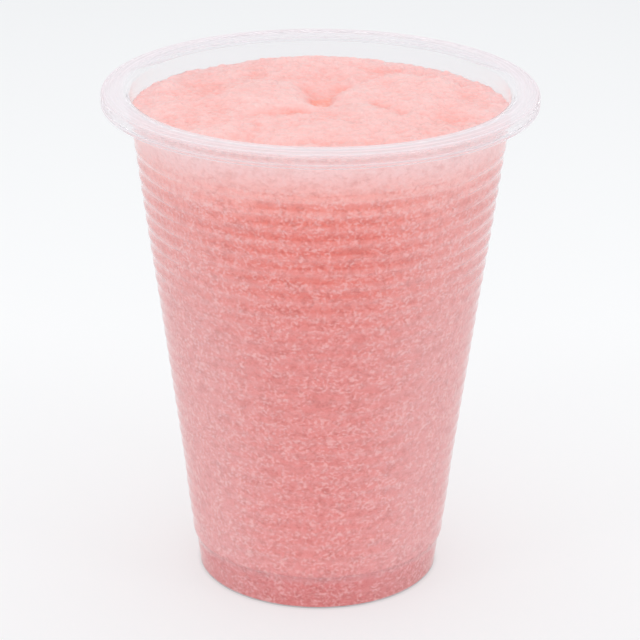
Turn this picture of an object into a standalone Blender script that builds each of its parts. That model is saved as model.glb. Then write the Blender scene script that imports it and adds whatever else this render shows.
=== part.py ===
"""A frozen slush drink in the clear ribbed plastic cup that it is served in.

Two pieces: "cup", a thin turned shell with a hooked rim, ribs round its wall, a shoulder and a
hollow foot, and "slush", the packed ice that fills it up to an uneven, mounded top.
Metres, +Z up. The origin is the centre of the cup's base on the table.
"""

import math
import random

import bmesh
import bpy
from mathutils import Vector

MM = 0.001

# Driving dimensions of the cup
RIM_RADIUS = 37.5 * MM
CUP_HEIGHT = 89.3 * MM
WALL = 0.45 * MM
WALL_TOP_RADIUS = 32.9 * MM
WALL_TOP_Z = 87.0 * MM
WALL_LEAN = 0.1301  # radius lost for each unit of height on the way down
SHOULDER_Z = 8.8 * MM
LEDGE_Z = 6.5 * MM
LEDGE_RADIUS = 22.55 * MM
FOOT_TOP_RADIUS = 22.1 * MM
FOOT_RADIUS = 21.4 * MM
FOOT_EDGE = 0.3 * MM
FOOT_RING_INNER = 18.9 * MM
BASE_RECESS = 1.5 * MM
RECESS_LEAN = 0.4 * MM  # how far the recess narrows on its way up to the base

# Ribs pressed round the wall, from just under the smooth collar down to the shoulder
RIB_COUNT = 27
RIB_PITCH = 2.64 * MM
FIRST_RIB_Z = 79.4 * MM
RIB_WIDTH = 1.5 * MM
RIB_HEIGHT = 0.24 * MM

# Hooked rim: the wall flares out over the crest, slopes gently out and ends in a hanging skirt
FLANGE = 0.5 * MM
COLLAR_DROP = 1.3 * MM  # the inner wall starts to flare this far below the crest
CREST_INSET = 1.65 * MM
CREST_ROUND = 1.2 * MM
UNDER_ROUND = 1.15 * MM  # height of the flare on its outer side
RIM_FALL = 0.3 * MM  # from the crest down to the outer edge of the rim's top
RIM_EDGE = 0.75 * MM
SKIRT_DROP = 2.7 * MM
SKIRT_CURL = 0.2 * MM

# Slush
PIECE_GAP = 0.3 * MM
FILL_DEPTH = 3.8 * MM  # from the rim's crest down to where the ice meets the wall
FAR_SIDE_DIP = 0.3 * MM  # the ice lies this much lower at +Y than at the middle
WALL_CALM = 3.0 * MM  # the relief dies away over this width beside the wall
LEAST_RELIEF = 0.15  # share of the relief that is left right beside the wall

# Mounds on top: centre x, y, half width along x and y, height
MOUNDS = (
    (-7.5 * MM, 5.0 * MM, 8.0 * MM, 9.0 * MM, 1.5 * MM),
    (14.0 * MM, 4.0 * MM, 10.0 * MM, 11.0 * MM, 1.3 * MM),
    (-3.0 * MM, 25.0 * MM, 9.0 * MM, 6.0 * MM, 0.6 * MM),
    (2.0 * MM, -13.0 * MM, 15.0 * MM, 7.0 * MM, 0.7 * MM),
    (-20.0 * MM, -4.0 * MM, 8.0 * MM, 8.0 * MM, 0.5 * MM),
)
# Folds and the cleft between the mounds: both ends, width, depth
CLEFTS = (
    ((-2.8 * MM, 11.0 * MM), (-0.3 * MM, 0.0 * MM), 2.0 * MM, 1.2 * MM),
    ((-0.3 * MM, 0.0 * MM), (4.6 * MM, 11.5 * MM), 2.0 * MM, 1.1 * MM),
    ((-10.5 * MM, -6.5 * MM), (-3.0 * MM, -5.0 * MM), 1.7 * MM, 0.7 * MM),
    ((9.4 * MM, -1.5 * MM), (13.5 * MM, -6.0 * MM), 1.7 * MM, 0.7 * MM),
)

# Small rounded lumps of ice strewn over the top
LUMP_COUNT = 90
LUMP_SEED = 11
LUMP_SIZE = (1.6 * MM, 3.6 * MM)
LUMP_RISE = (-0.33 * MM, 0.55 * MM)

# How finely round shapes are cut
CUP_SEGMENTS = 40
SLUSH_SEGMENTS = 56
TOP_RINGS = 18
SHARP_ANGLE = math.radians(50)
MERGE = 0.00001


def wall_radius(z):
    """Outer radius of the plain leaning wall at height z."""
    return WALL_TOP_RADIUS - WALL_LEAN * (WALL_TOP_Z - z)


def arc(centre_r, centre_z, size_r, size_z, start, end, steps):
    """Points of an elliptic arc in the profile plane; angles in degrees from outwards, turning upwards."""
    points = []
    for i in range(steps + 1):
        angle = math.radians(start + (end - start) * i / steps)
        points.append((centre_r + size_r * math.cos(angle), centre_z + size_z * math.sin(angle)))
    return points


def rim_profile():
    """The hooked rim: from the inner wall out over the crest, down the skirt and back underneath."""
    collar_z = CUP_HEIGHT - COLLAR_DROP
    collar = wall_radius(collar_z) - WALL
    crest = collar + CREST_INSET
    edge = RIM_RADIUS - RIM_EDGE
    edge_z = CUP_HEIGHT - RIM_FALL - RIM_EDGE
    skirt_z = CUP_HEIGHT - SKIRT_DROP
    points = [(collar, collar_z)]
    points += arc(crest, CUP_HEIGHT - CREST_ROUND, CREST_INSET, CREST_ROUND, 155, 90, 2)
    points += [((crest + edge) / 2, CUP_HEIGHT - RIM_FALL / 3)]
    points += arc(edge, edge_z, RIM_EDGE, RIM_EDGE, 80, 0, 2)
    points += [(RIM_RADIUS, skirt_z + SKIRT_CURL)]
    points += [(RIM_RADIUS - SKIRT_CURL, skirt_z)]
    points += [(RIM_RADIUS - SKIRT_CURL - FLANGE, skirt_z)]
    points += [(RIM_RADIUS - FLANGE, edge_z)]
    points += [(edge, edge_z + RIM_EDGE - FLANGE)]
    under = crest + WALL
    under_z = CUP_HEIGHT - RIM_FALL / 2 - FLANGE - UNDER_ROUND
    points += arc(under, under_z, under - wall_radius(under_z), UNDER_ROUND, 90, 180, 2)
    points += [(wall_radius(WALL_TOP_Z), WALL_TOP_Z)]
    return points


def ribbed_wall_profile():
    """The outer wall, running down: each rib is a low ridge with plain wall between it and the next."""
    points = []
    for i in range(RIB_COUNT):
        z = FIRST_RIB_Z - i * RIB_PITCH
        top = z + RIB_WIDTH / 2
        bottom = z - RIB_WIDTH / 2
        points += [(wall_radius(top), top)]
        points += [(wall_radius(z) + RIB_HEIGHT, z)]
        points += [(wall_radius(bottom), bottom)]
    return points


def foot_profile():
    """Round the shoulder, in at the ledge, down the foot, across its flat ring and up to the base."""
    shoulder = wall_radius(SHOULDER_Z)
    points = arc(LEDGE_RADIUS, SHOULDER_Z, shoulder - LEDGE_RADIUS, SHOULDER_Z - LEDGE_Z, 0, -90, 3)
    points += [(FOOT_TOP_RADIUS, LEDGE_Z)]
    points += arc(FOOT_RADIUS - FOOT_EDGE, FOOT_EDGE, FOOT_EDGE, FOOT_EDGE, 0, -90, 2)
    points += [(FOOT_RING_INNER, 0.0)]
    points += [(FOOT_RING_INNER - RECESS_LEAN, BASE_RECESS)]
    points += [(0.0, BASE_RECESS)]
    return points


def inner_profile(inset):
    """The foot and lower wall at this distance inside the outer surface, running up from the middle."""
    floor_z = BASE_RECESS + inset
    points = [(0.0, floor_z)]
    points += [(FOOT_RING_INNER - RECESS_LEAN + inset, floor_z)]
    points += [(FOOT_RING_INNER + inset, inset)]
    points += [(FOOT_RADIUS - inset, inset)]
    points += [(FOOT_RADIUS - inset, FOOT_EDGE + inset)]
    points += [(FOOT_TOP_RADIUS - inset, LEDGE_Z)]
    points += [(wall_radius(SHOULDER_Z) - inset, SHOULDER_Z)]
    return points


def slush_radius(z):
    """How far out the ice reaches at height z, clear of the inner wall."""
    return wall_radius(z) - WALL - PIECE_GAP


def slush_profile():
    """The ice: level rings across the top, then down beside the wall and into the foot."""
    level = CUP_HEIGHT - FILL_DEPTH
    outer = slush_radius(level)
    points = [(outer * i / TOP_RINGS, level) for i in range(TOP_RINGS + 1)]
    for share in (0.25, 0.5, 0.75):
        z = level + share * (SHOULDER_Z - level)
        points += [(slush_radius(z), z)]
    return points + inner_profile(WALL + PIECE_GAP)[::-1]


def strewn_lumps():
    """Seeded lumps spread evenly over the top: x, y, half width and height, some raised and some sunken."""
    draw = random.Random(LUMP_SEED)
    lumps = []
    for _ in range(LUMP_COUNT):
        angle = draw.uniform(0, 2 * math.pi)
        distance = slush_radius(CUP_HEIGHT - FILL_DEPTH) * math.sqrt(draw.random())
        size = draw.uniform(*LUMP_SIZE)
        rise = draw.uniform(*LUMP_RISE)
        lumps.append((distance * math.cos(angle), distance * math.sin(angle), size, rise))
    return lumps


def relief(x, y, lumps):
    """Height of the ice above its level at x, y: mounds, less clefts, plus lumps, lower at the far side."""
    height = 0.0
    for mound_x, mound_y, half_x, half_y, rise in MOUNDS:
        away = ((x - mound_x) / half_x) ** 2 + ((y - mound_y) / half_y) ** 2
        height += rise * math.exp(-away * away / 2)
    for start, end, width, depth in CLEFTS:
        first, last = Vector(start), Vector(end)
        along = (Vector((x, y)) - first).dot(last - first) / (last - first).length_squared
        nearest = first.lerp(last, min(max(along, 0.0), 1.0))
        away = (Vector((x, y)) - nearest).length / width
        height -= depth * math.exp(-away * away)
    for lump_x, lump_y, size, rise in lumps:
        away = ((x - lump_x) ** 2 + (y - lump_y) ** 2) / size**2
        height += rise * math.exp(-away)
    reach = slush_radius(CUP_HEIGHT - FILL_DEPTH)
    from_wall = reach - math.hypot(x, y)
    dip = FAR_SIDE_DIP * y / reach
    return height * min(max(from_wall / WALL_CALM, LEAST_RELIEF), 1.0) - dip


def principled(name, colour, roughness, transmission=0.0, subsurface=0.0):
    """A Principled material; colour is linear red, green and blue."""
    material = bpy.data.materials.new(name)
    material.use_nodes = True
    shader = material.node_tree.nodes["Principled BSDF"]
    shader.inputs["Base Color"].default_value = (*colour, 1.0)
    shader.inputs["Roughness"].default_value = roughness
    shader.inputs["Metallic"].default_value = 0.0
    shader.inputs["Transmission Weight"].default_value = transmission
    shader.inputs["Subsurface Weight"].default_value = subsurface
    shader.inputs["Subsurface Scale"].default_value = 2 * MM
    material.diffuse_color = (*colour, 1.0)
    return material


def turned(name, profile, segments, material, collection):
    """An object that turns the profile about +Z with a Screw modifier."""
    mesh = bpy.data.meshes.new(name)
    edges = [(i, i + 1) for i in range(len(profile) - 1)]
    mesh.from_pydata([(r, 0.0, z) for r, z in profile], edges, [])
    mesh.materials.append(material)
    obj = bpy.data.objects.new(name, mesh)
    collection.objects.link(obj)
    screw = obj.modifiers.new("turn", "SCREW")
    screw.axis = "Z"
    screw.angle = 2 * math.pi
    screw.steps = screw.render_steps = segments
    screw.use_smooth_shade = True
    screw.use_merge_vertices = True
    screw.merge_threshold = MERGE
    return obj


def apply_modifiers(obj):
    """Replaces the object's mesh with its evaluated one."""
    graph = bpy.context.evaluated_depsgraph_get()
    mesh = bpy.data.meshes.new_from_object(obj.evaluated_get(graph))
    obj.modifiers.clear()
    obj.data = mesh
    obj.data.name = obj.name


def raise_top(obj, level):
    """Gives the level top of the turned ice its relief, and splits its faces into triangles."""
    lumps = strewn_lumps()
    working = bmesh.new()
    working.from_mesh(obj.data)
    for vertex in working.verts:
        if vertex.co.z > level - MERGE:
            vertex.co.z += relief(vertex.co.x, vertex.co.y, lumps)
    bmesh.ops.triangulate(working, faces=working.faces)
    working.to_mesh(obj.data)
    working.free()


def main():
    for obj in list(bpy.data.objects):
        bpy.data.objects.remove(obj, do_unlink=True)
    collection = bpy.data.collections.new("Frozen slush drink")
    bpy.context.scene.collection.children.link(collection)

    clear = principled("clear_plastic", (0.90, 0.90, 0.93), 0.12, transmission=0.9)
    ice = principled("pink_ice", (0.86, 0.40, 0.38), 0.45, subsurface=0.6)

    inside = inner_profile(WALL) + [(wall_radius(WALL_TOP_Z) - WALL, WALL_TOP_Z)]
    outside = ribbed_wall_profile() + foot_profile()
    cup = turned("cup", inside + rim_profile() + outside, CUP_SEGMENTS, clear, collection)
    apply_modifiers(cup)
    cup.data.shade_smooth()
    cup.data.set_sharp_from_angle(angle=SHARP_ANGLE)

    slush = turned("slush", slush_profile(), SLUSH_SEGMENTS, ice, collection)
    apply_modifiers(slush)
    raise_top(slush, CUP_HEIGHT - FILL_DEPTH)
    slush.data.shade_smooth()
    slush.data.set_sharp_from_angle(angle=SHARP_ANGLE)


main()
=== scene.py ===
import math
import random

import bpy
import numpy as np
from mathutils import Matrix, Vector


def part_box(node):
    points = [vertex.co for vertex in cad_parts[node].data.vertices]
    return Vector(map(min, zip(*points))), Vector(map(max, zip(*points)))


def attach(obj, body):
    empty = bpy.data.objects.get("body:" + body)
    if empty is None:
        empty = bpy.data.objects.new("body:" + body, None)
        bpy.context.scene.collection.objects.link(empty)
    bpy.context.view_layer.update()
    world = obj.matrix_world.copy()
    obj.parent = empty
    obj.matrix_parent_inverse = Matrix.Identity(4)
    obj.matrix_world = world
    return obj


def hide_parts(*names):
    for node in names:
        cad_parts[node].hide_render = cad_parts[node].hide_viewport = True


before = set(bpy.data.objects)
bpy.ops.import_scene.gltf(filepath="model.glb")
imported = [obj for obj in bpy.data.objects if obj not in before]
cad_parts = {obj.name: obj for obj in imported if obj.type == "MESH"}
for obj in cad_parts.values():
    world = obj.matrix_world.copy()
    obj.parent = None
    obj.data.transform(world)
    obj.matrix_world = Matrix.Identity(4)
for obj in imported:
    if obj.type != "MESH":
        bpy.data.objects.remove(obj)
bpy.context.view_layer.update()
print("frame loaded:", sorted(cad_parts))

mm = 0.001
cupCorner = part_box("cup")[1]  # the cup's highest corner
rimRadius = cupCorner.x
cupHeight = cupCorner.z


# Tools for meshes

# Points of an elliptic arc in the profile plane: centre plus (size across * cos, size up * sin) of angles given
# in degrees
def arcRun(centre, size, start, end, count):
    angle = np.radians(np.linspace(start, end, count))
    return np.stack([centre[0] + size[0] * np.cos(angle), centre[1] + size[1] * np.sin(angle)], axis=1)


# Points along a straight line from start towards end, the end left out
def lineRun(start, end, count):
    share = np.linspace(0, 1, count, endpoint=False)[:, None]
    return np.array(start) * (1 - share) + np.array(end) * share


# Corner numbers of the quads between neighbouring rings of points that close on themselves
def ringQuads(ringCount, columns, first=0):
    ring, column = np.meshgrid(np.arange(ringCount - 1), np.arange(columns), indexing="ij")
    after = (column + 1) % columns
    upper, lower = ring * columns, (ring + 1) * columns
    corners = [upper + column, lower + column, lower + after, upper + after]
    return first + np.stack(corners, axis=-1).reshape(-1, 4)


# Every profile point (r, z) turned into a ring of points (r cos a, r sin a, z), ring after ring
def turnedPoints(profile, angle):
    across, along = profile[:, :1] * np.cos(angle), profile[:, :1] * np.sin(angle)
    up = np.repeat(profile[:, 1:], len(angle), axis=1)
    return np.stack([across, along, up], axis=-1).reshape(-1, 3)


# A smooth mesh object from an array of points and arrays of faces, one array for each number of corners
def meshPiece(name, points, faceSets, material):
    mesh = bpy.data.meshes.new(name)
    faceSets = [faces for faces in faceSets if len(faces)]
    corners = np.concatenate([faces.ravel() for faces in faceSets]).astype(np.int32)
    sizes = np.concatenate([np.full(len(faces), faces.shape[1]) for faces in faceSets])
    mesh.vertices.add(len(points))
    mesh.vertices.foreach_set("co", np.ascontiguousarray(points, np.float32).ravel())
    mesh.loops.add(len(corners))
    mesh.loops.foreach_set("vertex_index", corners)
    mesh.polygons.add(len(sizes))
    mesh.polygons.foreach_set("loop_start", (np.cumsum(sizes) - sizes).astype(np.int32))
    mesh.update(calc_edges=True)
    mesh.validate()
    mesh.shade_smooth()
    mesh.materials.append(material)
    piece = bpy.data.objects.new(name, mesh)
    bpy.context.scene.collection.objects.link(piece)
    return piece


# A solid turned round +Z: each profile point becomes a ring, and both ends of the profile are poles
def turnedPiece(name, profile, columns, material):
    angle = np.linspace(0, 2 * np.pi, columns, endpoint=False)
    body = profile[1:-1]
    rings = turnedPoints(body, angle)
    poles = np.array([[0, 0, profile[0, 1]], [0, 0, profile[-1, 1]]])
    points = np.concatenate([rings, poles])
    column = np.arange(columns)
    after = (column + 1) % columns
    last = (len(body) - 1) * columns
    firstPole = np.full(columns, len(rings))
    fans = np.concatenate([
        np.stack([firstPole, column, after], axis=1),
        np.stack([firstPole + 1, last + after, last + column], axis=1),
    ])
    return meshPiece(name, points, [ringQuads(len(body), columns), fans], material)


# Tools for materials

# A socket that takes part in sums: each operator adds a Math node and gives its result
class Wire:
    def __init__(self, finish, socket):
        self.finish = finish
        self.socket = socket

    def maths(self, operation, *others):
        values = dict(enumerate((self, *others)))
        return self.finish.node("ShaderNodeMath", {"operation": operation}, values)

    def __add__(self, other):
        return self.maths("ADD", other)

    def __sub__(self, other):
        return self.maths("SUBTRACT", other)

    def __rsub__(self, other):
        return self.finish.node("ShaderNodeMath", {"operation": "SUBTRACT"}, {0: other, 1: self})

    def __mul__(self, other):
        return self.maths("MULTIPLY", other)

    def __truediv__(self, other):
        return self.maths("DIVIDE", other)

    def __pow__(self, other):
        return self.maths("POWER", other)

    __radd__ = __add__
    __rmul__ = __mul__

    # 0 below low, 1 above high and a smooth rise between them
    def between(self, low, high):
        values = {"Value": self, "From Min": low, "From Max": high}
        return self.finish.node("ShaderNodeMapRange", {"interpolation_type": "SMOOTHSTEP"}, values)


# The nodes of a new material, or of the world, under construction
class Finish:
    def __init__(self, owner):
        self.owner = owner
        self.owner.use_nodes = True
        self.tree = self.owner.node_tree
        self.tree.nodes.clear()

    # Adds a node, sets it up, feeds its sockets with values or wires, and gives one of its outputs
    def node(self, kind, settings=None, inputs=None, output=0):
        made = self.tree.nodes.new(kind)
        for key, value in (settings or {}).items():
            if key == "stops":
                self.setStops(made.color_ramp, value)
            else:
                setattr(made, key, value)
        for key, value in (inputs or {}).items():
            if isinstance(value, Wire):
                self.tree.links.new(value.socket, made.inputs[key])
            else:
                made.inputs[key].default_value = value
        return Wire(self, made.outputs[output]) if made.outputs else None

    # Gives a ramp its stops, each a position and a colour
    def setStops(self, ramp, stops):
        while len(ramp.elements) < len(stops):
            ramp.elements.new(0.5)
        for element, (place, colour) in zip(ramp.elements, stops):
            element.position = place
            element.color = (*colour, 1)

    # One colour over another by a factor; sockets 6 and 7 of a Mix node are its colours
    def blend(self, factor, under, over, mode="MIX"):
        settings = {"data_type": "RGBA", "blend_type": mode}
        return self.node("ShaderNodeMix", settings, {0: factor, 6: under, 7: over}, output=2)

    # Where the shader is, in the object's own metres
    def place(self):
        return self.node("ShaderNodeTexCoord", {}, {}, output="Object")

    # Distance from the upright axis
    def radius(self, place):
        flat = self.node("ShaderNodeVectorMath", {"operation": "MULTIPLY"}, {0: place, 1: (1, 1, 0)})
        return self.node("ShaderNodeVectorMath", {"operation": "LENGTH"}, {0: flat}, output="Value")

    # One part of a place: X, Y or Z
    def part(self, place, axis):
        return self.node("ShaderNodeSeparateXYZ", {}, {0: place}, output=axis)

    # A noise between 0 and 1, its scale in marks to the metre
    def noise(self, place, scale, detail, distortion=0.0):
        values = {"Vector": place, "Scale": scale, "Detail": detail, "Distortion": distortion}
        return self.node("ShaderNodeTexNoise", {}, values, output="Fac")

    # Closes the work with the surface that the owner shows, and gives the owner
    def finishWith(self, shader, kind="Material"):
        self.node("ShaderNodeOutput" + kind, {}, {"Surface": shader})
        return self.owner


# A new material's nodes
def newFinish(name):
    return Finish(bpy.data.materials.new(name))


# Linear colour from the 0 to 255 values that a picture shows
def shown(red, green, blue):
    values = [value / 255 for value in (red, green, blue)]
    return tuple(value / 12.92 if value <= 0.04045 else ((value + 0.055) / 1.055) ** 2.4 for value in values)


# Camera: the photograph's place and lens, in rim radii and in pixels of the square picture

viewPlan = dict(
    away=11.607,
    high=5.877,
    pitchDown=21.82,
    roll=0.379,
    focalPixels=2653,
    axisPixel=319.0,  # where the lens axis meets the picture, from its left
    pictureSide=640,
    sensor=36,  # its width in millimetres
    nearest=0.01,  # metres in front of the camera at which the view starts
)


# The camera stands on the middle plane, tilts down and rolls a little; its lens is the focal length in pixels
# times the sensor's width over the picture's
def makeCamera():
    data = bpy.data.cameras.new("photoCamera")
    data.sensor_width = viewPlan["sensor"]
    data.lens = viewPlan["focalPixels"] / viewPlan["pictureSide"] * viewPlan["sensor"]
    data.shift_x = 0.5 - viewPlan["axisPixel"] / viewPlan["pictureSide"]
    data.clip_start = viewPlan["nearest"]
    camera = bpy.data.objects.new("photoCamera", data)
    bpy.context.scene.collection.objects.link(camera)
    place = Matrix.Translation((0, -viewPlan["away"] * rimRadius, viewPlan["high"] * rimRadius))
    tilt = Matrix.Rotation(math.radians(90 - viewPlan["pitchDown"]), 4, "X")
    camera.matrix_world = place @ tilt @ Matrix.Rotation(math.radians(viewPlan["roll"]), 4, "Z")
    bpy.context.scene.camera = camera


makeCamera()
print("camera set")


# Studio: a pale floor, a soft white surround and large soft lamps

studioPlan = dict(
    floorSide=6.0,
    floorColour=(0.40, 0.405, 0.41),
    floorRoughness=0.7,
    floorShine=0.1,
    floorGlow=0.56,  # the floor is a light table, a little dimmer towards the front and the back
    footShade=(19.5 * mm, 22.2 * mm),  # and dark under the foot, between these distances from its middle
    floorReach=(-0.10, 0.40),  # from front to back, the colours of the glow run over this stretch
    floorGlows=((0.0, (0.90, 0.91, 0.92)), (0.42, (0.985, 0.995, 1.0)), (1.0, (0.86, 0.87, 0.88))),
    overhead=(0.92, 0.925, 0.935),
    aside=(0.86, 0.865, 0.88),
    surround=1.0,
    lamps=(  # place, size, watts
        ((-0.40, -0.35, 0.55), 0.16, 0.23),
        ((0.42, -0.30, 0.55), 0.16, 0.24),
        ((0.0, 0.12, 0.60), 0.30, 0.16),
        ((0.0, -0.90, 0.50), 0.60, 0.7),
    ),
    aim=(0, 0, 0.05),
)


# A flat square that glows by its distance from the front, with no glow under the foot
def makeFloor():
    finish = newFinish("paleFloor")
    half = studioPlan["floorSide"] / 2
    corners = np.array([[-half, -half, 0], [half, -half, 0], [half, half, 0], [-half, half, 0]])
    place = finish.place()
    nearest, farthest = studioPlan["floorReach"]
    share = (finish.part(place, "Y") - nearest) / (farthest - nearest)
    glow = finish.node("ShaderNodeValToRGB", {"stops": studioPlan["floorGlows"]}, {0: share})
    glow = finish.blend(finish.radius(place).between(*studioPlan["footShade"]), (0, 0, 0, 1), glow)
    shader = finish.node("ShaderNodeBsdfPrincipled", {}, {
        "Base Color": (*studioPlan["floorColour"], 1),
        "Roughness": studioPlan["floorRoughness"],
        "Specular IOR Level": studioPlan["floorShine"],
        "Emission Color": glow,
        "Emission Strength": studioPlan["floorGlow"],
    })
    floor = meshPiece("floor", corners, [np.array([[0, 1, 2, 3]])], finish.finishWith(shader))


# Light from all round, whose colour runs with the direction's height from the sides' to the one overhead
def makeSurround():
    finish = Finish(bpy.data.worlds.new("surround"))
    direction = finish.node("ShaderNodeTexCoord", {}, {}, output="Generated")
    stops = ((0.0, studioPlan["aside"]), (1.0, studioPlan["overhead"]))
    colour = finish.node("ShaderNodeValToRGB", {"stops": stops}, {0: finish.part(direction, "Z")})
    light = finish.node("ShaderNodeBackground", {}, {"Color": colour, "Strength": studioPlan["surround"]})
    bpy.context.scene.world = finish.finishWith(light, "World")


# Square lamps, each at its place and turned to the same point of the cup
def makeLamps():
    for number, (place, size, watts) in enumerate(studioPlan["lamps"]):
        data = bpy.data.lights.new(f"softLamp{number}", "AREA")
        data.shape = "SQUARE"
        data.size = size
        data.energy = watts
        lamp = bpy.data.objects.new(data.name, data)
        bpy.context.scene.collection.objects.link(lamp)
        aim = np.array(studioPlan["aim"]) - np.array(place)
        lamp.matrix_world = Matrix.Translation(place) @ lookAlong(aim)


# The turn that points an object's -Z along a direction
def lookAlong(direction):
    return Vector(direction).to_track_quat("-Z", "Y").to_matrix().to_4x4()


makeFloor()
makeSurround()
makeLamps()
bpy.context.scene.view_settings.view_transform = "Standard"
print("studio set")


# Cup

cupPlan = dict(
    wall=0.45 * mm,
    wallTopRadius=32.9 * mm,
    wallTopZ=87.0 * mm,
    lean=0.1301,  # inwards for each unit down
    shoulderZ=8.8 * mm,
    ledgeZ=6.5 * mm,
    ledgeRadius=22.55 * mm,
    footTopRadius=22.1 * mm,
    footRadius=21.4 * mm,
    footEdge=0.3 * mm,
    footRingInner=18.9 * mm,
    baseRecess=1.5 * mm,
    recessLean=0.4 * mm,
    ribCount=27,
    ribPitch=2.64 * mm,
    firstRib=79.4 * mm,
    ribWidth=1.9 * mm,
    ribHeight=0.22 * mm,
    ribInset=0.2 * mm,  # the wall lies this far in between the ribs, against the smooth collar
    ribbedLow=(12 * mm, 22 * mm),  # the inset grows over these heights above the shoulder
    ribbedHigh=(81.5 * mm, 79 * mm),  # and over these, downwards, under the collar
    ribsFadeLow=48 * mm,  # the ribs lose height further down, between these two
    ribsFadeHigh=66 * mm,
    ribsLeft=0.4,  # the share of their height that is left below that
    flange=0.5 * mm,
    crestInset=1.65 * mm,  # the wall flares out this far and this high into the crest
    crestRound=1.2 * mm,
    underRound=1.15 * mm,  # the flare's height on its outer side
    rimFall=0.3 * mm,
    rimEdge=0.75 * mm,
    skirtDrop=2.7 * mm,
    lip=0.38 * mm,  # half width of the bead along the skirt's lower edge
    rimTurn=74,  # degrees at which the rim's top runs into its outer edge
    stepsPerRib=6,
    stepsInside=2,  # the inner wall is smooth
    columns=240,
    edgeSoft=0.15 * mm,  # the corners of the step between the foot and the wall are cut by this
    joinGap=0.2 * mm,  # the straight wall and the foot's side start this far above the arcs under them
    leastCorner=0.05 * mm,
    runGap=0.1 * mm,  # runs of the rim keep this far from the end of the run before them
)


# A smooth step from 0 at low to 1 at high
def easedStep(value, low, high):
    share = np.clip((value - low) / (high - low), 0, 1)
    return share * share * (3 - 2 * share)


# Outer radius of the leaning wall: the top radius less the lean for each unit down, less the inset among ribs
def wallRadius(z):
    amongRibs = easedStep(z, *cupPlan["ribbedLow"]) * easedStep(z, *cupPlan["ribbedHigh"])
    plain = cupPlan["wallTopRadius"] - cupPlan["lean"] * (cupPlan["wallTopZ"] - z)
    return plain - cupPlan["ribInset"] * amongRibs


# How far the ribs stand out at height z: half of (1 + cos) across each rib's width, 0 between ribs
def ribSwell(z):
    turn = (cupPlan["firstRib"] - z) / cupPlan["ribPitch"]
    nearest = np.clip(np.round(turn), 0, cupPlan["ribCount"] - 1)
    away = np.abs(turn - nearest) * cupPlan["ribPitch"] * 2 / cupPlan["ribWidth"]
    return cupPlan["ribHeight"] * (1 + np.cos(np.pi * np.minimum(away, 1))) / 2


# Heights from low to high that give every rib the same number of points
def wallHeights(low, high, stepsPerRib):
    return np.linspace(low, high, int(round((high - low) / cupPlan["ribPitch"] * stepsPerRib)))


# The ribbed outer wall, running up; its ribs flatten out further down
def ribbedRun(low, high):
    z = wallHeights(low, high, cupPlan["stepsPerRib"])
    left = cupPlan["ribsLeft"]
    share = left + (1 - left) * easedStep(z, cupPlan["ribsFadeLow"], cupPlan["ribsFadeHigh"])
    return np.stack([wallRadius(z) + ribSwell(z) * share, z], axis=1)


# A smooth wall at a distance inside the outer one, running up
def smoothRun(inset, low, high):
    z = wallHeights(low, high, cupPlan["stepsInside"])
    return np.stack([wallRadius(z) - inset, z], axis=1)


# Base, foot and shoulder at a distance inside the outer surface, running up from the middle of the base; the
# last number of each run is how many points it has, and an arc's other two are its ends in degrees
def footRun(inset):
    c = cupPlan
    floor = (c["footRingInner"] - c["recessLean"] + inset, c["baseRecess"] + inset)
    ring = (c["footRingInner"] + inset, inset)
    edge = (c["footRadius"] - c["footEdge"], c["footEdge"])
    corner = max(c["footEdge"] - inset, c["leastCorner"])
    cornerWide = corner if inset >= c["footEdge"] else c["footRadius"] - inset - edge[0]
    footLow = (c["footRadius"] - inset, c["footEdge"] + c["joinGap"])
    footHigh = (c["footTopRadius"] - inset, c["ledgeZ"] - c["edgeSoft"])
    ledge = c["ledgeRadius"] - inset - c["edgeSoft"]
    shoulder = (wallRadius(c["shoulderZ"]) - inset - ledge, c["shoulderZ"] - c["ledgeZ"])
    return np.concatenate([
        lineRun((0, floor[1]), floor, 4),
        lineRun(floor, ring, 3),
        lineRun(ring, (edge[0], inset), 3),
        arcRun(edge, (cornerWide, corner), -90, 0, 5),
        lineRun(footLow, footHigh, 4),
        lineRun(footHigh, (ledge, c["ledgeZ"]), 2),
        arcRun((ledge, c["shoulderZ"]), shoulder, -80, 0, 7),
    ])


# The hooked rim, from the top of the inner wall over the crest, round the skirt's bead and back to the outer
# wall: the top falls by the square of the way out, and its underside follows it a flange's thickness lower
def rimRun():
    c = cupPlan
    crestZ = cupHeight - c["crestRound"]
    crest = wallRadius(crestZ) - c["wall"] + c["crestInset"]
    edge = rimRadius - c["rimEdge"]
    edgeZ = cupHeight - c["rimFall"] - c["rimEdge"]
    beadZ = cupHeight - c["skirtDrop"] + c["lip"]
    turn = math.radians(c["rimTurn"])
    outer = edge + c["rimEdge"] * math.cos(turn)
    fall = cupHeight - edgeZ - c["rimEdge"] * math.sin(turn)
    inside = c["rimEdge"] - c["flange"]
    share = np.linspace(0, 1, 14)[1:-1]
    top = np.stack([crest + (outer - crest) * share, cupHeight - fall * share**2], axis=1)
    below = np.stack([top[::-1, 0], top[::-1, 1] - c["flange"]], axis=1)
    under = crest + c["wall"]
    underZ = cupHeight - c["flange"] - c["underRound"]
    return np.concatenate([
        arcRun((crest, crestZ), (c["crestInset"], c["crestRound"]), 180, 90, 20),
        top,
        arcRun((edge, edgeZ), (c["rimEdge"], c["rimEdge"]), c["rimTurn"], 0, 22),
        lineRun((rimRadius, edgeZ - c["runGap"]), (rimRadius, beadZ), 3),
        arcRun((rimRadius - c["lip"], beadZ), (c["lip"], c["lip"]), 0, -210, 30),
        lineRun((rimRadius - c["flange"], beadZ + c["lip"]), (rimRadius - c["flange"], edgeZ), 3),
        arcRun((edge, edgeZ), (inside, inside), 0, c["rimTurn"], 9),
        below[below[:, 0] > under + c["runGap"]],
        arcRun((under, underZ), (under - wallRadius(underZ), c["underRound"]), 90, 180, 14),
    ])


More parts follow.
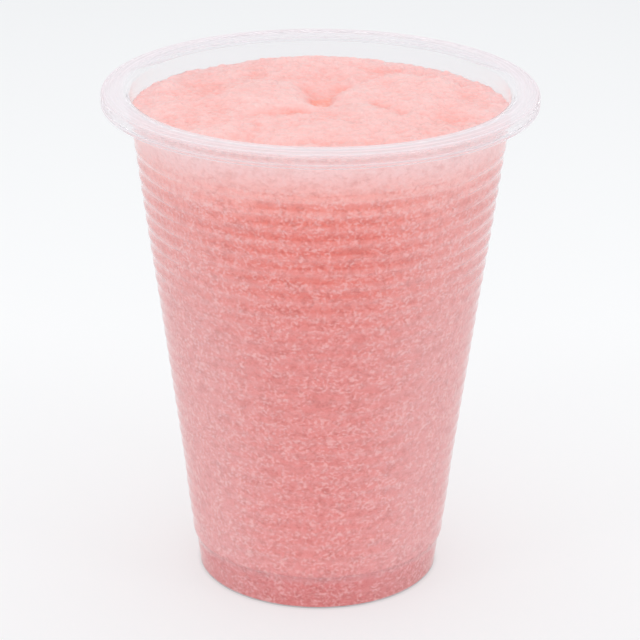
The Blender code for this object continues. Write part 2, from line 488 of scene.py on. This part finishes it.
# The cup's whole outline, from the base's inner side up and over the rim and down to the base's underside
def cupProfile():
    c = cupPlan
    inner = smoothRun(c["wall"], c["shoulderZ"] + c["joinGap"], cupHeight - c["crestRound"] - c["runGap"])
    outer = ribbedRun(c["shoulderZ"] + c["joinGap"], c["wallTopZ"])
    return np.concatenate([footRun(c["wall"]), inner, rimRun(), outer[::-1], footRun(0)[::-1]])


# For the finishes, a wave along the height, 1 on each rib and -1 midway between two: cos(2 pi * pitches down
# from the first rib)
def ribWave(height):
    return ((cupPlan["firstRib"] - height) * (2 * math.pi / cupPlan["ribPitch"])).maths("COSINE")


plasticPlan = dict(
    tint=(0.965, 0.96, 0.97),
    passing=(0.985, 0.98, 0.985),  # for light on its way to the ice and the floor
    roughness=0.06,
    ior=1.12,
    gloss=0.35,  # the skin's own reflection
    milk=(0.93, 0.91, 0.945),  # the haze in the plastic, also the white of its painted sheen and highlight lines
    milkThrough=0.4,  # share of the dry plastic's haze that lets light through from behind
    wetDepth=(3.0 * mm, 5.0 * mm),  # the ice wets the wall from between these depths under the crest
    rimFrom=(33.2 * mm, 34.4 * mm),  # the rim starts between these distances from the axis
    milkFacing=0.005,  # haze where the wall faces the eye
    milkAndSheenAside=0.18,  # more where it turns away, between these two: partly the plastic's milk, partly painted sheen
    aside=(0.0, 0.45),
    asideShares=(0.9, 0.9, 0.1),  # of that, on the wet wall, on the rim and everywhere
    footClear=(5.5 * mm, 9.5 * mm, 0.6),  # less of it on the foot: where that ends, and the share left
    milkDry=0.01,  # more on the dry rim
    milkEdge=0.45,  # and more where the dry rim is seen edge on, between these two
    edgeOn=(0.5, 0.95),
    milkFlange=0.17,  # more on the rim's top, from between these depths under the crest
    flangeDepth=(1.2 * mm, 0.6 * mm),
    ribHighlightShare=0.22,  # painted highlight lines along the upper ribs where the wall turns away
    shineAside=(0.35, 0.85),
    shineLow=(50 * mm, 68 * mm),
    shineHigh=(81 * mm, 80 * mm),
    shineWave=(0.1, 1.0),  # a line starts between these two of the ribs' wave
    foldHighlights=(  # radius, height, half width and share of the painted highlight lines along the rim's folds
        (37.0 * mm, 88.95 * mm, 0.28 * mm, 0.45),
        (37.45 * mm, 87.3 * mm, 0.3 * mm, 0.35),
        (36.0 * mm, 89.2 * mm, 0.3 * mm, 0.12),
        (34.9 * mm, 89.3 * mm, 0.35 * mm, 0.12),
    ),
)


# White haze in the plastic and painted light, the sum of its shares: haze where the wall turns away, partly
# painted sheen, and on the rim, with painted highlight lines along the upper ribs and on the rim's folds
def plasticHazeAndHighlights(finish, height, radius, wet):
    plan = plasticPlan
    onRim = radius.between(*plan["rimFrom"])
    aside = finish.node("ShaderNodeLayerWeight", {}, {"Blend": 0.5}, output="Facing")
    clearFrom, clearTo, footShare = plan["footClear"]
    aboveFoot = height.between(clearFrom, clearTo) * (1 - footShare) + footShare
    wetShare, rimShare, restShare = plan["asideShares"]
    shares = wet * wetShare + onRim * rimShare + restShare
    # haze where the wall turns away: partly the plastic's milk, partly painted sheen
    hazeAndHighlights = aside.between(*plan["aside"]) * aboveFoot * shares * plan["milkAndSheenAside"] + plan["milkFacing"]
    hazeAndHighlights = hazeAndHighlights + (1 - wet) * onRim * (aside.between(*plan["edgeOn"]) * plan["milkEdge"] + plan["milkDry"])
    hazeAndHighlights = hazeAndHighlights + height.between(*(cupHeight - depth for depth in plan["flangeDepth"])) * plan["milkFlange"]
    # painted highlight lines along the upper ribs, where the wall turns away
    upper = height.between(*plan["shineLow"]) * height.between(*plan["shineHigh"])
    ribHighlights = ribWave(height).between(*plan["shineWave"]) * upper
    hazeAndHighlights = hazeAndHighlights + ribHighlights * aside.between(*plan["shineAside"]) * plan["ribHighlightShare"]
    # painted highlight lines along the rim's folds
    for foldRadius, foldHeight, halfWidth, share in plan["foldHighlights"]:
        away = ((radius - foldRadius) ** 2 + (height - foldHeight) ** 2) ** 0.5
        hazeAndHighlights = hazeAndHighlights + away.between(halfWidth, 0.0) * share
    return hazeAndHighlights


# Clear plastic: glass-like, with a little white haze, partly painted sheen, and painted highlight lines; lamps
# shine through it on to the ice and the floor
def clearPlastic():
    plan = plasticPlan
    finish = newFinish("clearPlastic")
    place = finish.place()
    height = finish.part(place, "Z")
    wet = height.between(*(cupHeight - depth for depth in plan["wetDepth"]))
    glass = finish.node("ShaderNodeBsdfPrincipled", {}, {
        "Base Color": (*plan["tint"], 1),
        "Roughness": plan["roughness"],
        "IOR": plan["ior"],
        "Transmission Weight": 1.0,
        "Coat Weight": plan["gloss"],
        "Coat Roughness": plan["roughness"],
    })
    milkLit = finish.node("ShaderNodeBsdfDiffuse", {}, {"Color": (*plan["milk"], 1)})
    milkGlow = finish.node("ShaderNodeBsdfTranslucent", {}, {"Color": (*plan["milk"], 1)})
    glowing = (1 - wet) * plan["milkThrough"]
    milk = finish.node("ShaderNodeMixShader", {}, {0: glowing, 1: milkLit, 2: milkGlow})
    hazeAndHighlights = plasticHazeAndHighlights(finish, height, finish.radius(place), wet)
    body = finish.node("ShaderNodeMixShader", {}, {0: hazeAndHighlights, 1: glass, 2: milk})
    through = finish.node("ShaderNodeBsdfTransparent", {}, {"Color": (*plan["passing"], 1)})
    for ray in ("Is Diffuse Ray", "Is Shadow Ray"):
        passing = finish.node("ShaderNodeLightPath", {}, {}, output=ray)
        body = finish.node("ShaderNodeMixShader", {}, {0: passing, 1: body, 2: through})
    return finish.finishWith(body)


cupShell = turnedPiece("cupShell", cupProfile(), cupPlan["columns"], clearPlastic())
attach(cupShell, "root")
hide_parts("cup")
print("cup made:", len(cupShell.data.polygons), "faces")


# Slush

slushPlan = dict(
    fillDepth=3.8 * mm,
    farSideDip=0.9 * mm,
    wallCalm=3.0 * mm,
    leastRelief=0.5,
    leastCrumbs=0.8,  # crumbs stay rougher than lumps at the wall
    intoWall=0.12 * mm,  # the ice reaches this far into the wall, so that no air shows between them
    mounds=(  # centre x, y, half widths, height
        (-7.5 * mm, 5.0 * mm, 8.0 * mm, 9.0 * mm, 1.5 * mm),
        (14.0 * mm, 4.0 * mm, 10.0 * mm, 11.0 * mm, 1.3 * mm),
        (-3.0 * mm, 25.0 * mm, 9.0 * mm, 6.0 * mm, 0.6 * mm),
        (2.0 * mm, -13.0 * mm, 15.0 * mm, 7.0 * mm, 0.7 * mm),
        (-20.0 * mm, -4.0 * mm, 8.0 * mm, 8.0 * mm, 0.5 * mm),
        (-2.5 * mm, 32.0 * mm, 6.0 * mm, 8.0 * mm, 0.6 * mm),
    ),
    clefts=(  # both ends, width, depth
        ((-2.8 * mm, 10.5 * mm), (-0.3 * mm, 0.8 * mm), 2.0 * mm, 1.1 * mm),
        ((-0.3 * mm, 0.8 * mm), (3.8 * mm, 10.5 * mm), 2.0 * mm, 0.9 * mm),
        ((-10.5 * mm, -6.5 * mm), (-3.0 * mm, -5.0 * mm), 1.7 * mm, 0.7 * mm),
        ((9.4 * mm, -1.5 * mm), (13.5 * mm, -6.0 * mm), 1.7 * mm, 0.7 * mm),
        ((0.5 * mm, 10.5 * mm), (0.1 * mm, 4.0 * mm), 3.2 * mm, 0.6 * mm),
    ),
    lumpCount=90,
    lumpSeed=11,
    lumpSize=(1.6 * mm, 3.6 * mm),
    lumpRise=(-0.33 * mm, 0.55 * mm),
    lumpsInset=0.3 * mm,  # no lump's middle is nearer to the wall than this
    grains=((1.7 * mm, 0.42 * mm, 5), (0.85 * mm, 0.40 * mm, 6)),  # spacing, height, seed
    grainLeast=0.4,  # height of the lowest grains against the highest
    grainMean=0.4,  # the height of a grain that lies at the level
    rolls=((5.0 * mm, 0.12 * mm, 7), (2.4 * mm, 0.14 * mm, 8), (1.2 * mm, 0.12 * mm, 9)),
    hollowRounds=60,  # how widely the crumbs and the forms under them are set against their surroundings
    formRounds=520,
    formShare=0.65,
    crumbShare=0.5,
    topSteps=264,  # the top's grid has this many steps each way
    sideLow=0.2 * mm,  # the side starts this far above the shoulder
    sideHigh=0.8 * mm,  # and ends this far under the level
    grainTable=97,  # the grains' lattice repeats after this many steps, and the rolls' after the next
    rollTable=101,
    latticeShift=500,  # steps that keep every place on a lattice above 0
)
slushLevel = cupHeight - slushPlan["fillDepth"]
slushReach = wallRadius(slushLevel) - cupPlan["wall"] + slushPlan["intoWall"]


# Seeded lumps of ice: the same draw and order as the solid's
def strewnLumps():
    draw = random.Random(slushPlan["lumpSeed"])
    solidReach = slushReach - slushPlan["intoWall"] - slushPlan["lumpsInset"]
    lumps = []
    for _ in range(slushPlan["lumpCount"]):
        angle = draw.uniform(0, 2 * math.pi)
        distance = solidReach * math.sqrt(draw.random())
        size = draw.uniform(*slushPlan["lumpSize"])
        rise = draw.uniform(*slushPlan["lumpRise"])
        lumps.append((distance * math.cos(angle), distance * math.sin(angle), size, rise))
    return lumps


# How deep x, y lies in the clefts: the sum of depth * exp(-(distance to the cleft's line / width)^2)
def cleftDepth(x, y):
    depth = np.zeros_like(x)
    for (x0, y0), (x1, y1), width, sunk in slushPlan["clefts"]:
        dx, dy = x1 - x0, y1 - y0
        along = np.clip(((x - x0) * dx + (y - y0) * dy) / (dx * dx + dy * dy), 0, 1)
        away = np.hypot(x - x0 - along * dx, y - y0 - along * dy) / width
        depth += sunk * np.exp(-away * away)
    return depth


# Packed grains: own height * (1 - (distance to the nearest centre of a jittered lattice)^2), never below 0
def grainHeight(x, y, spacing, seed):
    size = slushPlan["grainTable"]
    table = np.random.default_rng(seed).random((size, size, 3))
    across, along = x / spacing + slushPlan["latticeShift"], y / spacing + slushPlan["latticeShift"]
    nearest = np.full(x.shape, np.inf)
    own = np.zeros_like(x)
    for stepX in (-1, 0, 1):
        for stepY in (-1, 0, 1):
            cellX, cellY = np.floor(across).astype(int) + stepX, np.floor(along).astype(int) + stepY
            jitter = table[cellX % size, cellY % size]
            gap = (across - cellX - jitter[..., 0]) ** 2 + (along - cellY - jitter[..., 1]) ** 2
            closer = gap < nearest
            nearest = np.where(closer, gap, nearest)
            own = np.where(closer, jitter[..., 2], own)
    return np.clip(1 - nearest, 0, 1) * (slushPlan["grainLeast"] + (1 - slushPlan["grainLeast"]) * own)


# A rolling surface between -1 and 1: random heights on a lattice, joined by eased steps both ways
def rolling(x, y, spacing, seed):
    size = slushPlan["rollTable"]
    table = np.random.default_rng(seed).uniform(-1, 1, (size, size))
    across, along = x / spacing + slushPlan["latticeShift"], y / spacing + slushPlan["latticeShift"]
    cellX, cellY = np.floor(across).astype(int), np.floor(along).astype(int)
    shareX, shareY = easedStep(across - cellX, 0, 1), easedStep(along - cellY, 0, 1)
    left, right = cellX % size, (cellX + 1) % size
    low, high = cellY % size, (cellY + 1) % size
    near = table[left, low] * (1 - shareX) + table[right, low] * shareX
    far = table[left, high] * (1 - shareX) + table[right, high] * shareX
    return near * (1 - shareY) + far * shareY


# Heights of the ice above its level, forms and crumbs apart. Forms: mounds, rise * exp(-away^4 / 2) each,
# less the clefts, plus lumps, rise * exp(-(distance / size)^2) each, lower towards the far side. Crumbs: rolls
# and grains. Both are calmer by the wall.
def slushRelief(x, y):
    forms = -cleftDepth(x, y)
    for moundX, moundY, halfX, halfY, rise in slushPlan["mounds"]:
        away = ((x - moundX) / halfX) ** 2 + ((y - moundY) / halfY) ** 2
        forms += rise * np.exp(-away * away / 2)
    for lumpX, lumpY, size, rise in strewnLumps():
        forms += rise * np.exp(-((x - lumpX) ** 2 + (y - lumpY) ** 2) / size**2)
    crumbs = np.zeros_like(x)
    for spacing, rise, seed in slushPlan["rolls"]:
        crumbs += rise * rolling(x, y, spacing, seed)
    for spacing, rise, seed in slushPlan["grains"]:
        crumbs += rise * (grainHeight(x, y, spacing, seed) - slushPlan["grainMean"])
    fromWall = slushReach - np.hypot(x, y)
    calm = np.clip(fromWall / slushPlan["wallCalm"], slushPlan["leastRelief"], 1)
    forms = forms * calm - slushPlan["farSideDip"] * y / slushReach
    return forms, crumbs * np.maximum(calm, slushPlan["leastCrumbs"])


# How deep each point lies below its surroundings: heights averaged over neighbours many times, less its own
def hollows(height, rounds):
    spread = height
    for _ in range(rounds):
        wide = np.pad(spread, 1, mode="edge")
        spread = (wide[:-2, 1:-1] + wide[2:, 1:-1] + wide[1:-1, :-2] + wide[1:-1, 2:]) / 4
    return spread - height


# A square grid pressed into a disc with even rings: the radius is the larger of the two sides, and the angle
# an eighth of a turn times the ratio of the two, counted from the axis of the larger
def discGrid(steps, radius):
    side = np.linspace(-1, 1, steps + 1)
    a, b = np.meshgrid(side, side, indexing="ij")
    wide = np.abs(a) > np.abs(b)
    r = np.where(wide, a, b)
    safe = np.where(r == 0, 1, r)
    angle = np.where(wide, np.pi / 4 * b / safe, np.pi / 2 - np.pi / 4 * a / safe)
    return radius * r * np.cos(angle), radius * r * np.sin(angle)


# Outline of the ice below its top: down the wall, over the shoulder and the foot and in to the base's middle
def slushProfile():
    inset = cupPlan["wall"] - slushPlan["intoWall"]
    low, high = cupPlan["shoulderZ"] + slushPlan["sideLow"], slushLevel - slushPlan["sideHigh"]
    return np.concatenate([smoothRun(inset, low, high)[::-1], footRun(inset)[::-1]])


# Triangles that join the top's edge to the first ring: four edge steps and one ring step for each column
def edgeTriangles(edge, column, after, first):
    fine = edge.reshape(len(column), 4)
    run = np.concatenate([fine, fine[after, :1]], axis=1)
    ends = (first + column, first + column, first + after, first + after)
    fans = [np.stack([end, run[:, k + 1], run[:, k]], axis=1) for k, end in enumerate(ends)]
    return fans + [np.stack([first + column, first + after, run[:, 2]], axis=1)]


# The ice: a disc grid on top, whose edge has four steps to each column of the rings that run down the wall
# and under the foot to a pole. The attribute tells the finish how many millimetres each point of the top lies
# below its surroundings.
def makeSlush(material):
    count = slushPlan["topSteps"] + 1
    x, y = discGrid(slushPlan["topSteps"], slushReach)
    forms, crumbs = slushRelief(x, y)
    top = np.stack([x, y, slushLevel + forms + crumbs], axis=-1)
    index = np.arange(count * count).reshape(count, count)
    corners = [index[:-1, :-1], index[1:, :-1], index[1:, 1:], index[:-1, 1:]]
    topQuads = np.stack(corners, axis=-1).reshape(-1, 4)
    edge = np.concatenate([index[-1, :-1], index[:0:-1, -1], index[0, :0:-1], index[:-1, 0]])
    columns = len(edge) // 4
    start = np.arctan2(top[-1, 0, 1], top[-1, 0, 0])
    angle = start + np.linspace(0, 2 * np.pi, columns, endpoint=False)
    profile = slushProfile()
    body = profile[:-1]
    points = np.concatenate([top.reshape(-1, 3), turnedPoints(body, angle), [[0, 0, profile[-1, 1]]]])
    first = count * count
    column = np.arange(columns)
    after = (column + 1) % columns
    lastRing = first + (len(body) - 1) * columns
    pole = np.full(columns, len(points) - 1)
    fans = edgeTriangles(edge, column, after, first)
    fans += [np.stack([lastRing + after, lastRing + column, pole], axis=1)]
    faceSets = [topQuads, ringQuads(len(body), columns, first), np.concatenate(fans)]
    piece = meshPiece("slushFill", points, faceSets, material)
    lower = hollows(forms, slushPlan["formRounds"]) * slushPlan["formShare"]
    lower += hollows(crumbs, slushPlan["hollowRounds"]) * slushPlan["crumbShare"]
    depth = np.zeros(len(points), np.float32)
    depth[:first] = lower.ravel() / mm
    piece.data.attributes.new("hollow", "FLOAT", "POINT").data.foreach_set("value", depth)
    return piece


icePlan = dict(
    # colours of the top, from proud crumbs to deep hollows; darker and deeper pink in the hollows is painted
    # shade, with syrup that gathers there
    top=(
        (0.0, shown(255, 213, 209)),
        (0.45, shown(255, 200, 196)),
        (0.70, shown(255, 182, 175)),
        (1.0, shown(255, 160, 140)),
    ),
    topDepths=(-0.6, 0.7),  # millimetres below the surroundings at the first and the last of these
    topEdge=(1.0 * mm, 0.5 * mm),  # the top's colours start between these depths under the level
    shore=shown(255, 222, 221),  # painted light: thin ice by the wall is paler, lit from the side through the wall
    shoreRadii=(25 * mm, 33 * mm),
    shoreShare=0.4,
    # colours down the side, from the foot's height to the level; the last stops, paler towards the level, are
    # painted light from above coming through the thin ice there
    side=(
        (0.00, shown(216, 117, 115)),
        (0.072, shown(224, 123, 122)),
        (0.084, shown(234, 146, 144)),
        (0.12, shown(234, 138, 134)),
        (0.60, shown(232, 137, 132)),
        (0.86, shown(238, 127, 116)),
        (0.93, shown(253, 169, 160)),
        (1.00, shown(255, 217, 216)),
    ),
    deep=(0.76, 0.56, 0.53),  # syrup between the grains takes this share of the light, down the side
    deepTop=(0.88, 0.62, 0.58),  # and on top
    mottles=(150, 4.0, 0.8),  # syrup that stains the top unevenly: marks to the metre, detail and distortion
    mottleDepth=0.5,
    highlightColour=shown(255, 206, 204),  # painted glints on the grains and painted highlights on the ribs
    grooveShade=shown(232, 116, 103),  # between the upper ribs, partly painted shade in the grooves
    bandLow=(54 * mm, 66 * mm),  # the bands fade out over these heights, further down
    bandHigh=(80.6 * mm, 79.4 * mm),  # and under the collar
    bandWave=(0.5, -0.6),  # a band starts between these two of the ribs' wave
    bandShare=0.5,
    patches=(110, 3.0),  # the noise that breaks the bands: marks to the metre and detail
    patchFrom=(0.42, 0.60),  # a patch of band starts where its noise is between these two
    middleFrom=(13 * mm, 8 * mm),  # patches are wider in the middle of the front and the back
    middleShare=0.12,
    firstBands=(72 * mm, 76 * mm),  # and wider still in the first bands there
    firstShare=0.15,
    paleWave=(0.0, 0.8),  # the painted highlight of a rib starts between these two of the ribs' wave
    paleShares=(0.10, 0.05),  # with the bands, and everywhere
    flatter=1.25,  # patches, spots and specks are this much longer than high
    pointFlatter=1.15,
    # each kind's noise as marks to the metre, detail and distortion, then where in it a mark starts
    spots=(430, 3.0, 0.6),
    spotFrom=(0.48, 0.68),
    spotShare=0.38,
    specks=(1000, 2.0, 0.8),
    speckFrom=(0.52, 0.34),
    speckShare=0.44,
    # painted glints: bright points on the grains
    points=(1600, 2.0, 0.4),
    pointFrom=(0.42, 0.68),
    clusters=(430, 1.0),
    clusterFrom=(0.25, 0.60),
    pointShare=0.45,
    pointLessTop=0.2,  # less of them on top
    muting=(76 * mm, 82 * mm, 0.3),  # spots and specks are weaker towards the level, by this share
    mutingTop=0.4,  # and on top by this share
    roughness=0.35,
    ior=1.31,
    grains=(1000, 2.0),  # the finest relief: marks to the metre and detail
    grainDepth=0.34 * mm,
    grainStrength=0.8,
    glow=0.25,  # share of light that spreads inside the ice
    glowReach=0.4 * mm,
    glowColours=(1.0, 0.5, 0.45),  # how far red, green and blue spread against each other
)


# Colours of the ice before its marks: by hollow on top, with painted shade in the hollows, paler by the wall as
# painted side light, and by height down the side, paler towards the level as painted light from above
def iceGround(finish, place, height, onTop):
    plan = icePlan
    # down the side by height; paler towards the level is painted light from above
    side = finish.node("ShaderNodeValToRGB", {"stops": plan["side"]}, {0: height / slushLevel})
    hollow = finish.node("ShaderNodeAttribute", {"attribute_name": "hollow"}, {}, output="Fac")
    stain = (finish.noise(place, *plan["mottles"]) - 0.5) * plan["mottleDepth"]
    proud, sunk = plan["topDepths"]
    # painted shade: darker, deeper pink the deeper the hollow, with syrup that gathers there
    depth = (hollow - proud) / (sunk - proud) + stain
    top = finish.node("ShaderNodeValToRGB", {"stops": plan["top"]}, {0: depth})
    # painted side light: paler ice by the wall
    sideLitShore = finish.radius(place).between(*plan["shoreRadii"]) * plan["shoreShare"]
    return finish.blend(onTop, side, finish.blend(sideLitShore, top, (*plan["shore"], 1)))


# Dark bands between the upper ribs, partly painted shade in the grooves, broken into patches and strongest in
# the middle, and paler ribs, a painted highlight
def iceBands(finish, colour, place, height, lying):
    plan = icePlan
    wave = ribWave(height)
    middle = finish.part(place, "X").maths("ABSOLUTE").between(*plan["middleFrom"])
    first = height.between(*plan["firstBands"]) * middle
    patches = finish.noise(lying, *plan["patches"])
    patches = patches + middle * plan["middleShare"] + first * plan["firstShare"]
    fade = height.between(*plan["bandLow"]) * height.between(*plan["bandHigh"])
    # partly painted shade in the grooves between the upper ribs
    shadedGrooves = wave.between(*plan["bandWave"]) * patches.between(*plan["patchFrom"]) * fade * plan["bandShare"]
    colour = finish.blend(shadedGrooves, colour, (*plan["grooveShade"], 1))
    withBands, everywhere = plan["paleShares"]
    # painted highlight on the ribs
    light = wave.between(*plan["paleWave"]) * (fade * withBands + everywhere)
    return finish.blend(light, colour, (*plan["highlightColour"], 1))


# Syrup between the grains, in wide spots and small specks, and painted glints: bright points on the grains,
# loosely clustered
def iceMarks(finish, colour, place, height, lying, onTop):
    plan = icePlan
    deep = finish.blend(onTop, (*plan["deep"], 1), (*plan["deepTop"], 1))
    mutedFrom, mutedTo, mutedShare = plan["muting"]
    muted = (1 - height.between(mutedFrom, mutedTo) * mutedShare) * (1 - onTop * plan["mutingTop"])
    spots = finish.noise(lying, *plan["spots"]).between(*plan["spotFrom"])
    colour = finish.blend(spots * muted * plan["spotShare"], colour, deep, "MULTIPLY")
    specks = finish.noise(lying, *plan["specks"]).between(*plan["speckFrom"])
    colour = finish.blend(specks * muted * plan["speckShare"], colour, deep, "MULTIPLY")
    stretched = finish.node("ShaderNodeMapping", {}, {"Vector": place, "Scale": (1, 1, plan["pointFlatter"])})
    points = finish.noise(stretched, *plan["points"]).between(*plan["pointFrom"])
    clusters = finish.noise(stretched, *plan["clusters"]).between(*plan["clusterFrom"])
    # painted glints, loosely clustered, fewer on top
    glints = points * clusters * (plan["pointShare"] - onTop * plan["pointLessTop"])
    return finish.blend(glints, colour, (*plan["highlightColour"], 1))


# Packed crushed ice: pale on top, deeper down the side, with syrup between the grains and painted glints
def pinkIce():
    plan = icePlan
    finish = newFinish("pinkIce")
    place = finish.place()
    height = finish.part(place, "Z")
    lying = finish.node("ShaderNodeMapping", {}, {"Vector": place, "Scale": (1, 1, plan["flatter"])})
    onTop = height.between(*(slushLevel - depth for depth in plan["topEdge"]))
    colour = iceGround(finish, place, height, onTop)
    colour = iceBands(finish, colour, place, height, lying)
    colour = iceMarks(finish, colour, place, height, lying, onTop)
    grains = finish.noise(place, *plan["grains"])
    bump = {"Height": grains, "Distance": plan["grainDepth"], "Strength": plan["grainStrength"]}
    shader = finish.node("ShaderNodeBsdfPrincipled", {}, {
        "Base Color": colour,
        "Roughness": plan["roughness"],
        "IOR": plan["ior"],
        "Normal": finish.node("ShaderNodeBump", {}, bump),
        "Subsurface Weight": plan["glow"],
        "Subsurface Radius": plan["glowColours"],
        "Subsurface Scale": plan["glowReach"],
    })
    return finish.finishWith(shader)


slushFill = makeSlush(pinkIce())
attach(slushFill, "root")
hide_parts("slush")
print("slush made:", len(slushFill.data.polygons), "faces")
